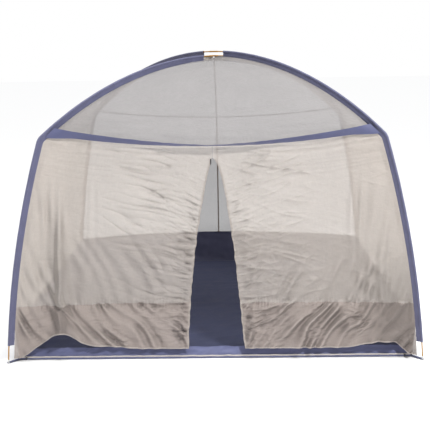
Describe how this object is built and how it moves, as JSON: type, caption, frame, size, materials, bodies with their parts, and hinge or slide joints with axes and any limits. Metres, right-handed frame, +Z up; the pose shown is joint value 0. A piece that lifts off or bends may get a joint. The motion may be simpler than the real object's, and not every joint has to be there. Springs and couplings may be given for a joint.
{
  "type": "screen house",
  "caption": "Square mesh screen house on two crossing poles, with a waterproof tub floor, sleeved seams and a zipped front doorway parted down the middle.",
  "frame": {"origin": "on the ground under the middle of the roof, at the centre of the floor's underside", "axes": "+Z up, -Y towards the doorway, +X to the right seen from in front"},
  "size_m": [3.1526, 3.1526, 2.2985],
  "materials": {
    "pole": "amber glass-fibre rod, polished resin",
    "ferrule": "plain drawn steel tube",
    "foot_plug": "satin moulded",
    "shock_cord": "braided cover",
    "navy_fabric": "coated plain weave",
    "tub_fabric": "coated plain weave, waterproof",
    "mesh_fabric": "fine knitted insect mesh",
    "zip_tape": "woven zip tape and binding",
    "zip_metal": "dark enamel"
  },
  "bodies": {
    "root": {"back_seam_tape": "zip_tape", "corner_strap_back_left": "navy_fabric", "corner_strap_back_right": "navy_fabric", "corner_strap_front_left": "navy_fabric", "corner_strap_front_right": "navy_fabric", "crown_ferrule_high": "ferrule", "crown_ferrule_low": "ferrule", "curtain_left": "mesh_fabric", "curtain_right": "mesh_fabric", "elbow_back_left": "ferrule", "elbow_back_right": "ferrule", "elbow_front_left": "ferrule", "elbow_front_right": "ferrule", "floor": "tub_fabric", "foot_plug_back_left": "foot_plug", "foot_plug_back_right": "foot_plug", "foot_plug_front_left": "foot_plug", "foot_plug_front_right": "foot_plug", "front_eave_band": "navy_fabric", "leg_pole_back_left": "pole", "leg_pole_back_right": "pole", "leg_pole_front_left": "pole", "leg_pole_front_right": "pole", "leg_sleeve_back_left": "navy_fabric", "leg_sleeve_back_right": "navy_fabric", "leg_sleeve_front_left": "navy_fabric", "leg_sleeve_front_right": "navy_fabric", "roof_panel_back": "mesh_fabric", "roof_panel_front": "mesh_fabric", "roof_panel_left": "mesh_fabric", "roof_panel_right": "mesh_fabric", "roof_pole_back_left": "pole", "roof_pole_back_right": "pole", "roof_pole_front_left": "pole", "roof_pole_front_right": "pole", "roof_sleeve_back_left": "navy_fabric", "roof_sleeve_back_right": "navy_fabric", "roof_sleeve_front_left": "navy_fabric", "roof_sleeve_front_right": "navy_fabric", "shock_cord_high": "shock_cord", "shock_cord_low": "shock_cord", "sill": "navy_fabric", "sill_zip_tape": "zip_tape", "skirt_back": "tub_fabric", "skirt_left": "tub_fabric", "skirt_right": "tub_fabric", "wall_back": "mesh_fabric", "wall_left": "mesh_fabric", "wall_right": "mesh_fabric"},
    "door_left": {"door_leaf_left": "mesh_fabric", "door_zip_tape_left": "zip_tape"},
    "door_right": {"door_leaf_right": "mesh_fabric", "door_zip_tape_right": "zip_tape"},
    "door_slider": {"door_slider": "zip_metal"},
    "door_pull": {"door_slider_pull": "zip_metal"},
    "sill_slider_left": {"sill_slider_left": "zip_metal"},
    "sill_pull_left": {"sill_slider_pull_left": "zip_metal"},
    "sill_slider_right": {"sill_slider_right": "zip_metal"},
    "sill_pull_right": {"sill_slider_pull_right": "zip_metal"}
  },
  "joints": [
    {"name": "door_left_fold", "type": "hinge", "parent": "root", "child": "door_left", "pos_m": [-0.7015, -1.50947, 0.07532], "axis": [-0.4174, -0.1919, -0.8882], "range_deg": [0, 140]},
    {"name": "door_right_fold", "type": "hinge", "parent": "root", "child": "door_right", "pos_m": [0.7015, -1.50947, 0.07532], "axis": [-0.4174, 0.1919, 0.8882], "range_deg": [0, 140]},
    {"name": "door_slider_travel", "type": "slide", "parent": "door_left", "child": "door_slider", "axis": [-0.1318, -0.2093, -0.9689], "range_m": [0, 1.4]},
    {"name": "door_pull_flip", "type": "hinge", "parent": "door_slider", "child": "door_pull", "pos_m": [-0.01317, -1.21085, 1.481], "axis": [-1, 0, 0], "range_deg": [0, 170]},
    {"name": "sill_slider_left_travel", "type": "slide", "parent": "root", "child": "sill_slider_left", "axis": [1, 0, 0], "range_m": [0, 1.4]},
    {"name": "sill_pull_left_flip", "type": "hinge", "parent": "sill_slider_left", "child": "sill_pull_left", "pos_m": [-1.44, -1.509, 0.0143], "axis": [-1, 0, 0], "range_deg": [0, 170]},
    {"name": "sill_slider_right_travel", "type": "slide", "parent": "root", "child": "sill_slider_right", "axis": [-1, 0, 0], "range_m": [0, 1.4]},
    {"name": "sill_pull_right_flip", "type": "hinge", "parent": "sill_slider_right", "child": "sill_pull_right", "pos_m": [1.44, -1.509, 0.0143], "axis": [-1, 0, 0], "range_deg": [0, 170]}
  ]
}
